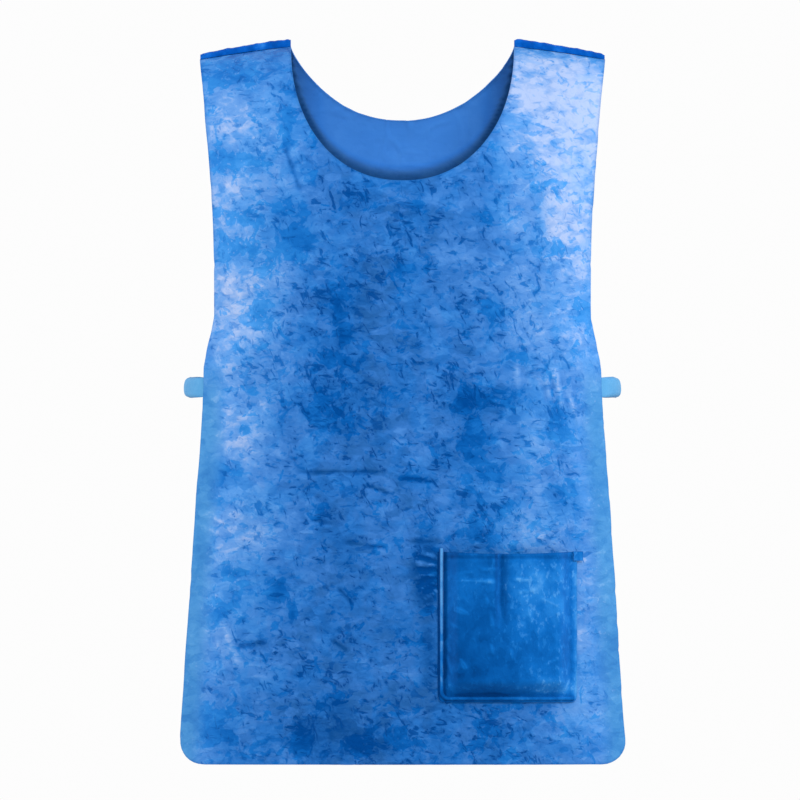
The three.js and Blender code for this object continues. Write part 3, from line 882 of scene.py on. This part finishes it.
def strap_line(side, up):
    """One line along a strap, from its tail behind the front panel's edge to the one behind the back's.
    up is how far the line lies above the strap's middle, as a share of its height."""
    behind = -(CLOTH / 2 + FACET_ROOM + SEAT_GAP + STRAP / 2)
    z = LEVEL - STRAP_DROP + up * STRAP_HIGH
    edge = float(half_width(z))
    curl = STRAP_CURL * (2 * up) ** 2
    slack = STRAP_SLACK - STRAP / 2 - curl - corner_lift(STRAP_HIGH * (0.5 - abs(up)), STRAP_CORNER)
    tail_x = side * (edge - STRAP_TAIL * np.array([1, 0.5, 0]))
    front = off_cloth(FRONT, tail_x, z, behind)
    back = off_cloth(BACK, tail_x, z, behind)[::-1]
    loop = []
    for share in STRAP_SHARES:
        out = edge + slack * (1 - abs(2 * share - 1) ** STRAP_ROUND)
        loop.append((side * out, lerp(front[2][1], back[0][1], share), z))
    return catmull_rom(np.vstack([front, loop, back]), STRAP_STEPS + 1)


def add_side_strap(name, side):
    """One slack strap: both tails lie behind the panels' edges, and the middle swells out in a loop."""
    across = [j / STRAP_ACROSS_STEPS - 0.5 for j in range(STRAP_ACROSS_STEPS + 1)]
    points = np.array([strap_line(side, up) for up in across]).transpose(1, 0, 2)
    along = np.linspace(0, 1, STRAP_STEPS + 1)[:, None] + 0 * points[..., 0]
    slackest = smoothstep(0.5 - np.abs(along - 0.5), 0.1, 0.3)
    y, z = points[..., 1], points[..., 2]
    points[..., 2] += STRAP_RISES * slackest * drift(y, z, 40, 200, 60 + side)
    points[..., 0] += STRAP_WAVES * slackest * drift(y, z, 18, 12, 62 + side)
    tone = 0.25 * drift(y, z, 30, 14, 64 + side).ravel()
    quads = grid_quads(STRAP_STEPS, STRAP_ACROSS_STEPS)
    if side < 0:
        quads = quads[:, ::-1]
    return add_sheet(name, points.reshape(-1, 3), quads, STRAP, {"tone": (tone, tone)})


def pocket_relief(across, height):
    """Small folds that the wet pocket cloth shows, in millimetres."""
    soft = 0.7 * drift(across, height, 30, 36, 70) + 0.35 * drift(across, height, 10, 9, 71)
    inside = smoothstep(np.minimum(across, POCKET_WIDE - across), 5, 16) * smoothstep(height, 4, 14)
    mouth_hem = -0.55 * bell(height, POCKET_HIGH - MOUTH_HEM, 1.3)
    return soft * inside + wrinkles(across, height, POCKET_WRINKLES) + mouth_hem


def lines(value, table):
    """The sum of the soft straight lines in a table."""
    return sum(strength * bell(value, at, wide) for at, wide, strength in table)


def foot_outwards(across):
    """0 at the inner end of the pocket's foot and 1 at the outer end, where its edge is paler."""
    return smoothstep(across, 50, 105)


def pocket_tone(across, height):
    """How pale the pocket's cloth looks, with painted light and shade: ridges paler and creases darker,
    painted shade in lines along its crease, its sides and its mouth, and a painted shadow above its foot.
    """
    # The wrinkles are painted paler on their ridges and darker in their creases.
    tone = places(across, height, POCKET_TONES_AND_SHADE) + 0.7 * wrinkles(across, height, POCKET_WRINKLES) - 0.3
    tone = tone + lines(across, DIVIDER_LINES) * smoothstep(height, 60, 110)
    tone = tone + lines(across, UPRIGHT_LINES) + lines(height, LEVEL_LINES)
    outwards = foot_outwards(across)
    # Painted light lifts the bottom flange towards the outer end, and a painted shadow lies just above the
    # foot, fading outwards.
    tone = tone + 0.8 * outwards * bell(height, 7, 8)
    tone = tone - 0.9 * bell(height, 6.5, 2.4) * smoothstep(across, 8, 24) * (1 - 0.7 * outwards)
    tone = tone + 0.6 * smoothstep(across, POCKET_WIDE - 6, POCKET_WIDE - 2)
    return tone + 0.5 * smoothstep(across, POCKET_WIDE - 2.5, POCKET_WIDE) * smoothstep(height, 4, 12)


def add_pocket():
    """The patch pocket: welded flat on three sides, open at the top, with a crease down its mouth."""
    risen = POCKET_FLANGE + POCKET_RISE
    columns = math.ceil(POCKET_WIDE / POCKET_STEP)
    rows = math.ceil(POCKET_HIGH / POCKET_STEP)
    across, up = np.meshgrid(
        np.linspace(0, POCKET_WIDE, columns + 1), np.linspace(POCKET_HIGH, 0, rows + 1), indexing="ij"
    )
    from_side = np.minimum(across, POCKET_WIDE - across)
    bottom = corner_lift(from_side, POCKET_CORNER)
    mouth = POCKET_HIGH - POCKET_SAG * np.sin(math.pi * across / POCKET_WIDE)
    height = lerp(bottom, mouth, up / POCKET_HIGH)
    sides = smoothstep(from_side, POCKET_FLANGE, risen)
    base = smoothstep(up, POCKET_FLANGE, risen)
    crease = bell(across, POCKET_DIVIDER, POCKET_CREASE)
    fade = 1 - smoothstep(mouth - height, POCKET_CREASE_LONG / 2, POCKET_CREASE_LONG)
    swell = POCKET_SWELL * sides * base * (1 - POCKET_CREASE_DEPTH * crease * fade)
    relief = pocket_relief(across, height) * smoothstep(swell, 0.4, 3)
    off = CLOTH / 2 + SEAT_GAP + POCKET / 2 + swell + relief
    points = off_cloth(FRONT, POCKET_INNER + across, pocket_foot() + height, off)
    # The relief is painted into the tone too: paler on its swells and darker in its hollows, as painted
    # light and shade.
    tone = pocket_tone(across, height).ravel() + 0.35 * relief.ravel()
    facts = {"tone": (tone, -0.5)}
    return add_sheet("dressed_pocket", points.reshape(-1, 3), grid_quads(columns, rows), POCKET, facts)


def add_pocket_binding():
    """The bead along the pocket's inner side and its foot."""
    off = CLOTH / 2 + SEAT_GAP + POCKET + SEAT_GAP
    turn = BINDING_IN + BINDING_TURN
    down = [(BINDING_IN, z) for z in np.linspace(POCKET_HIGH + BINDING_ABOVE, turn, 60)]
    angles = np.linspace(math.pi, 1.5 * math.pi, 12)
    bend = [(turn + BINDING_TURN * math.cos(a), turn + BINDING_TURN * math.sin(a)) for a in angles]
    level = [(x, BINDING_IN) for x in np.linspace(turn, POCKET_WIDE - BINDING_IN, 60)]
    path = np.array([*down, *bend[1:], *level[1:]])
    along = np.concatenate([[0], np.cumsum(np.linalg.norm(np.diff(path, axis=0), axis=1))])
    even = np.linspace(0, along[-1], BINDING_STEPS + 1)
    across, up = np.interp(even, along, path[:, 0]), np.interp(even, along, path[:, 1])
    x, z = POCKET_INNER + across, pocket_foot() + up
    feet = off_cloth(FRONT, x, z, off)
    outs = cloth_normal(FRONT, x, z)
    high = BINDING_HIGH * (1 + 0.1 * wander(even, 9, 80))
    wide = BINDING_WIDE * (1 + 0.06 * wander(even, 12, 81))
    on_side = smoothstep(up, 8, 16)
    outwards = foot_outwards(across)
    # A painted highlight along the bead's side run, paler towards the top, and darker along the foot; the
    # flanks take painted shade, strong along the side and fading along the foot towards its outer end.
    tone = lerp(-0.2 + 0.6 * outwards, lerp(0.7, 1.9, up / POCKET_HIGH), on_side)
    facts = {"tone": tone + 0.5 * wander(even, 14, 82), "rim_and_flank_shade": 0 * tone}
    flank = lerp(lerp(1.4, 0.3, outwards), 4, on_side)
    return add_bead("dressed_pocket_binding", feet, outs, high, wide, facts, flank)


def add_pocket_tack():
    """The stitched tab that lies over the outer corner of the pocket's mouth."""
    off = CLOTH / 2 + SEAT_GAP + POCKET + SEAT_GAP + TACK / 2
    outer = POCKET_INNER + POCKET_WIDE + TACK_OVER
    top = pocket_foot() + POCKET_HIGH
    steps = np.linspace(0, 1, TACK_STEPS + 1)
    i, j = np.meshgrid(steps, steps, indexing="ij")
    x, z = outer - TACK_WIDE * (1 - i), top - TACK_HIGH * j
    points = off_cloth(FRONT, x, z, off).reshape(-1, 3)
    facts = {"tone": (TACK_TONE, TACK_TONE)}
    return add_sheet("dressed_pocket_tack", points, grid_quads(TACK_STEPS, TACK_STEPS), TACK, facts)


# Materials


def linear(display, light=STUDIO_LIGHT):
    """The shader's colour for a surface that looks like these values from 0 to 255 in that much light."""
    shares = [value / 255 for value in display]
    lights = [share / 12.92 if share <= 0.04045 else ((share + 0.055) / 1.055) ** 2.4 for share in shares]
    return (*[part / light for part in lights], 1)


class Painter:
    """Builds one node material, one step at a time. Numbers and links can both be given to a step."""

    def __init__(self, name):
        self.material = bpy.data.materials.new(name)
        self.material.use_nodes = True
        self.tree = self.material.node_tree
        self.shader = self.tree.nodes["Principled BSDF"]

    def put(self, socket, value):
        if isinstance(value, bpy.types.NodeSocket):
            self.tree.links.new(value, socket)
        else:
            socket.default_value = value

    def node(self, kind, inputs, **settings):
        made = self.tree.nodes.new(kind)
        for setting, value in settings.items():
            setattr(made, setting, value)
        for socket, value in inputs.items():
            self.put(made.inputs[socket], value)
        return made

    def count(self, operation, *numbers):
        return self.node("ShaderNodeMath", dict(enumerate(numbers)), operation=operation).outputs[0]

    def times(self, a, b):
        return self.count("MULTIPLY", a, b)

    def total(self, start, *terms):
        """start with each value added times its weight."""
        for value, weight in terms:
            start = self.count("MULTIPLY_ADD", value, weight, start)
        return start

    def fact(self, name):
        return self.node("ShaderNodeAttribute", {}, attribute_name=name).outputs["Fac"]

    def place(self, size, stretch, seed, turn=0.0):
        """Places on the cloth in cells of that size, turned and moved so that patterns differ."""
        inputs = {
            "Vector": self.node("ShaderNodeTexCoord", {}).outputs["Object"],
            "Location": (0.137 * seed, 0.071 * seed, 0.193 * seed),
            "Rotation": (0, turn, 0),
            "Scale": [MM * (size * part) for part in stretch],
        }
        return self.node("ShaderNodeMapping", inputs, vector_type="TEXTURE").outputs["Vector"]

    def noise(self, size, seed, detail=3.0, rough=0.55, warp=0.0, stretch=(1, 1, 1), turn=0.0):
        """Soft noise from 0 to 1, in cells of that size in millimetres."""
        where = self.place(size, stretch, seed, turn)
        inputs = {"Vector": where, "Scale": 1, "Detail": detail, "Roughness": rough, "Distortion": warp}
        return self.node("ShaderNodeTexNoise", inputs).outputs["Fac"]

    def facets(self, size, seed, stretch):
        """A random number for each of many uneven facets, as on crumpled cloth."""
        where = self.place(size, stretch, seed)
        bend = self.node("ShaderNodeTexNoise", {"Vector": where, "Scale": 1.5, "Detail": 2})
        inputs = {0: bend.outputs["Color"], "Scale": 0.6}
        bend = self.node("ShaderNodeVectorMath", inputs, operation="SCALE").outputs[0]
        bent = self.node("ShaderNodeVectorMath", {0: where, 1: bend}, operation="ADD").outputs[0]
        inputs = {"Vector": bent, "Scale": 1, "Smoothness": 0.25}
        return self.node("ShaderNodeTexVoronoi", inputs, feature="SMOOTH_F1").outputs["Color"]

    def step(self, value, low, high):
        """0 below low and 1 above high, smooth between."""
        inputs = {"Value": value, "From Min": low, "From Max": high}
        return self.node("ShaderNodeMapRange", inputs, interpolation_type="SMOOTHSTEP").outputs["Result"]

    def colours(self, level, displays, light=STUDIO_LIGHT):
        made = self.node("ShaderNodeValToRGB", {"Fac": level})
        ramp = made.color_ramp
        while len(ramp.elements) < len(displays):
            ramp.elements.new(0.5)
        for element, at, display in zip(ramp.elements, LEVELS, displays):
            element.position = at
            element.color = linear(display, light)
        return made.outputs["Color"]

    def mix(self, share, a, b):
        return self.node("ShaderNodeMix", {0: share, 6: a, 7: b}, data_type="RGBA").outputs[2]

    def finish(self, colour, roughness, height, bump, gloss=0.25):
        """height is in millimetres."""
        relief = self.node("ShaderNodeBump", {"Strength": bump, "Distance": MM, "Height": height})
        self.put(self.shader.inputs["Normal"], relief.outputs["Normal"])
        self.put(self.shader.inputs["Base Color"], colour)
        self.put(self.shader.inputs["Roughness"], roughness)
        self.shader.inputs["Specular IOR Level"].default_value = gloss
        self.shader.inputs["Specular Tint"].default_value = SHEEN
        return self.material


def grain(paint):
    """The fine sponge surface: soft pores about a millimetre across."""
    return paint.noise(1.3, 90, detail=2.0, rough=0.6)


def dashes(paint, seed, turn):
    """Short creases painted dark as painted shade along one direction, each with a soft painted shadow
    round it, crowded where the cloth is marked.
    """
    dash = paint.noise(10, seed, warp=0.8, stretch=(1.35, 1.2, 0.62), turn=turn)
    crowd = paint.total(paint.noise(24, seed + 1, detail=2.0), (paint.fact("marks"), 0.2))
    near = paint.total(dash, (paint.step(crowd, 0.5, 0.74), 0.11))
    # A soft painted shadow round each crease, then the crease's own painted shade.
    soft = paint.times(paint.step(near, 0.55, 0.7), 0.35)
    return paint.total(soft, (paint.step(near, 0.665, 0.715), 0.65))


def crease_marks(paint, busy):
    """The panels' small creases painted dark as painted shade, in two directions and fainter on pale
    cloth.
    """
    marks = paint.count("MAXIMUM", dashes(paint, 60, 0.1), dashes(paint, 64, 1.15))
    pale = paint.step(paint.fact("tone"), 0.4, 1.8)
    return paint.times(paint.times(marks, busy), paint.total(1.0, (pale, -0.5)))


def wet_places(paint, facets, clear):
    """Where the water has soaked in: in ragged patches, and in flecks near the creases."""
    ragged = paint.noise(20, 3, detail=4.0, rough=0.6, warp=0.8)
    edge = paint.total(ragged, (paint.fact("soak"), 0.28), (facets, 0.15))
    small = paint.noise(8, 4, detail=2.0, warp=0.6, stretch=(1.2, 1.2, 0.75))
    near_marks = paint.total(small, (ragged, 0.5), (paint.fact("marks"), 0.05))
    flecks = paint.times(paint.step(near_marks, 0.82, 0.9), 0.7)
    return paint.times(paint.count("MAXIMUM", paint.step(edge, 0.66, 0.72), flecks), clear)


def outer_colour(paint, level, clear, wet, marks):
    """The panels' outer side: milky with a blue tint in places, then soaked, with painted shade in its
    creases and painted glints in small pale specks.
    """
    calm = paint.fact("calm")
    tint = paint.total(paint.noise(30, 12, warp=0.5), (paint.fact("soak"), 0.2))
    blue_share = paint.times(paint.times(paint.step(tint, 0.42, 0.6), 0.5), clear)
    colour = paint.mix(blue_share, paint.colours(level, MILKY), paint.colours(level, SOAKED))
    colour = paint.mix(wet, colour, paint.colours(paint.total(-0.15, (level, 1.0)), SOAKED))
    colour = paint.mix(paint.times(calm, 0.85), colour, paint.colours(level, MARGIN))
    # Painted shade in the small creases.
    darker = paint.colours(paint.total(-0.34, (level, 0.95)), SOAKED)
    colour = paint.mix(paint.times(marks, 0.9), colour, darker)
    # Painted glints: small pale specks near the soaked patches, painted as highlights.
    near_glints = paint.step(paint.total(paint.noise(20, 10, detail=2.0), (wet, 0.08)), 0.5, 0.62)
    painted_glints = paint.times(paint.step(paint.noise(3.4, 11, detail=1.0), 0.6, 0.74), near_glints)
    paler = paint.colours(paint.total(0.2, (level, 1.0)), MILKY)
    return paint.mix(paint.times(painted_glints, 0.3), colour, paler)


def panel_cloth(name):
    """Damp sponge cloth: milky where it has dried, soaked in ragged patches, with small creases."""
    paint = Painter(name)
    busy = paint.total(1.0, (paint.fact("calm"), -1.0))
    cloud = paint.noise(46, 1, detail=2.0)
    mottle = paint.noise(11, 2, rough=0.6, warp=0.8, stretch=(1.3, 1.3, 0.8))
    facets = paint.facets(9, 13, stretch=(1.3, 1.3, 0.8))
    level = paint.total(-0.17, (paint.fact("tone"), 0.36), (cloud, 0.5), (mottle, 0.46), (facets, 0.24))
    palest = paint.step(paint.fact("tone"), 1.5, 2.7)
    clear = paint.times(busy, paint.total(1.0, (palest, -0.6)))
    wet = wet_places(paint, facets, clear)
    marks = crease_marks(paint, busy)

    # Inner sides take the INSIDE colours, from their own colour into painted shade as the shade fact
    # grows.
    shade = paint.fact("shade")
    is_inside = paint.step(shade, 0.0, 0.01)
    inside = paint.colours(paint.total(0.95, (shade, -0.92)), INSIDE, INSIDE_LIGHT)
    colour = outer_colour(paint, level, clear, wet, marks)
    colour = paint.mix(is_inside, colour, paint.mix(0.25, inside, colour))
    colour = paint.mix(paint.times(paint.fact("rim_and_flank_shade"), 0.3), colour, linear(CUT_EDGE))

    roughness = paint.total(0.62, (wet, -0.16), (is_inside, 0.25))
    crumple = paint.total(0.0, (mottle, 0.8), (facets, 0.25), (grain(paint), 0.1))
    height = paint.total(crumple, (marks, -0.35), (wet, -0.1))
    height = paint.times(height, paint.total(1.0, (is_inside, -0.75)))
    return paint.finish(colour, roughness, height, bump=0.8)


def plain_cloth(name, displays, mottle, seed):
    """Sponge cloth of one shade, with a soft mottle and fine creases."""
    paint = Painter(name)
    cloud = paint.noise(16, seed, detail=4.0, rough=0.6, warp=0.4)
    spots = paint.noise(5, seed + 1, detail=4.0, rough=0.6)
    plain = paint.total(0.5 - 0.9 * mottle, (paint.fact("tone"), 0.33))
    level = paint.total(plain, (cloud, mottle), (spots, 0.8 * mottle))
    colour = paint.colours(level, displays)
    # Darker at cut edges, and on a bead's flanks as painted shade.
    colour = paint.mix(paint.times(paint.fact("rim_and_flank_shade"), 0.3), colour, linear(STRAP_EDGE_AND_FLANK_SHADE))
    height = paint.total(0.0, (spots, 0.5), (grain(paint), 0.1))
    return paint.finish(colour, paint.total(0.5, (cloud, 0.2)), height, bump=0.7)


def wet_cloth(name):
    """The pocket's cloth: soaked through, with painted highlights in small pale flecks and a soft gloss.
    """
    paint = Painter(name)
    cloud = paint.noise(20, 20, detail=4.0, rough=0.6, warp=0.4)
    facets = paint.facets(7, 23, stretch=(0.9, 1, 1.3))
    level = paint.total(0.05, (paint.fact("tone"), 0.33), (cloud, 0.6), (facets, 0.17))
    glint_spots = paint.noise(5.5, 21, rough=0.6, stretch=(0.75, 0.9, 1.25))
    near_flecks = paint.total(paint.noise(14, 22, detail=2.0), (paint.fact("tone"), 0.14))
    # Painted glints: small pale flecks, painted as highlights on the wet cloth.
    flecks = paint.times(paint.step(glint_spots, 0.55, 0.64), paint.step(near_flecks, 0.4, 0.54))
    paler = paint.colours(paint.total(0.26, (level, 1.0)), WET_BLUE)
    colour = paint.mix(paint.times(flecks, 0.5), paint.colours(level, WET_BLUE), paler)
    # Darker at cut edges, and on a bead's flanks as painted shade.
    colour = paint.mix(paint.times(paint.fact("rim_and_flank_shade"), 0.25), colour, linear(POCKET_EDGE_AND_FLANK_SHADE))
    height = paint.total(0.0, (glint_spots, 0.9), (facets, 0.3), (grain(paint), 0.08))
    return paint.finish(colour, paint.total(0.5, (cloud, 0.15)), height, bump=0.8, gloss=0.12)


def floor_material():
    paint = Painter("studio_floor")
    mottle = paint.noise(120, 30)
    colour = paint.mix(mottle, linear(FLOOR_COLOURS[0]), linear(FLOOR_COLOURS[1]))
    return paint.finish(colour, 0.8, mottle, bump=0.05)


# Studio


def add_floor():
    place = (0, 0, cad_box[0][2] - FLOOR_BELOW)
    bpy.ops.mesh.primitive_circle_add(vertices=96, radius=FLOOR_RADIUS, fill_type="NGON", location=place)
    floor = bpy.context.object
    floor.name = "studio_floor"
    floor.data.materials.append(floor_material())


def add_softbox(name, location, wide, high, power):
    light = bpy.data.lights.new(name, "AREA")
    light.shape = "RECTANGLE"
    light.size = wide
    light.size_y = high
    light.energy = power
    lamp = bpy.data.objects.new(name, light)
    lamp.location = location
    aim = np.array(LIGHTS_AIM) - np.array(location)
    tilt = math.atan2(math.hypot(aim[0], aim[1]), -aim[2])
    lamp.rotation_euler = (tilt, 0, math.atan2(aim[1], aim[0]) - math.pi / 2)
    bpy.context.scene.collection.objects.link(lamp)


def add_studio():
    world = bpy.data.worlds.new("studio")
    world.use_nodes = True
    background = world.node_tree.nodes["Background"]
    background.inputs["Color"].default_value = (1, 1, 1, 1)
    background.inputs["Strength"].default_value = WORLD_LIGHT
    bpy.context.scene.world = world
    for softbox in SOFTBOXES:
        add_softbox(*softbox)
    bpy.context.scene.view_settings.view_transform = "Standard"
    add_floor()


def add_camera():
    data = bpy.data.cameras.new("camera")
    data.sensor_width = SENSOR
    data.lens = SENSOR * CAMERA_AWAY / (CAMERA_WIDE * MM)
    data.clip_end = 100
    camera = bpy.data.objects.new("camera", data)
    camera.location = (CAMERA_X * MM, -CAMERA_AWAY, CAMERA_Z * MM)
    camera.rotation_euler = (math.pi / 2, 0, 0)
    bpy.context.scene.collection.objects.link(camera)
    bpy.context.scene.camera = camera


def dress(piece, node, material):
    """Puts a finished piece in the place of its CAD node."""
    piece.data.materials.append(material)
    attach(piece, "root")
    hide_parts(node)
    return piece


add_camera()
add_studio()

panel_material = panel_cloth("mottled_sponge_cloth")
seam_material = plain_cloth("rolled_sponge_cloth", SEAM_BLUE, 0.7, 40)
strap_material = plain_cloth("plain_sponge_cloth", STRAP_BLUE, 0.5, 50)
pocket_material = wet_cloth("wet_sponge_cloth")

front = add_panel("dressed_front_panel", FRONT, front_relief, front_facts)
dress(front, "front_panel", panel_material)
back = add_panel("dressed_back_panel", BACK, back_relief, back_facts)
dress(back, "back_panel", panel_material)
for side, name in ((1, "left"), (-1, "right")):
    seam = add_shoulder_seam(f"dressed_shoulder_seam_{name}", side)
    dress(seam, f"shoulder_seam_{name}", seam_material)
    strap = add_side_strap(f"dressed_side_strap_{name}", side)
    dress(strap, f"side_strap_{name}", strap_material)
pocket = dress(add_pocket(), "pocket", pocket_material)
binding = dress(add_pocket_binding(), "pocket_binding", pocket_material)
tack = dress(add_pocket_tack(), "pocket_tack", pocket_material)
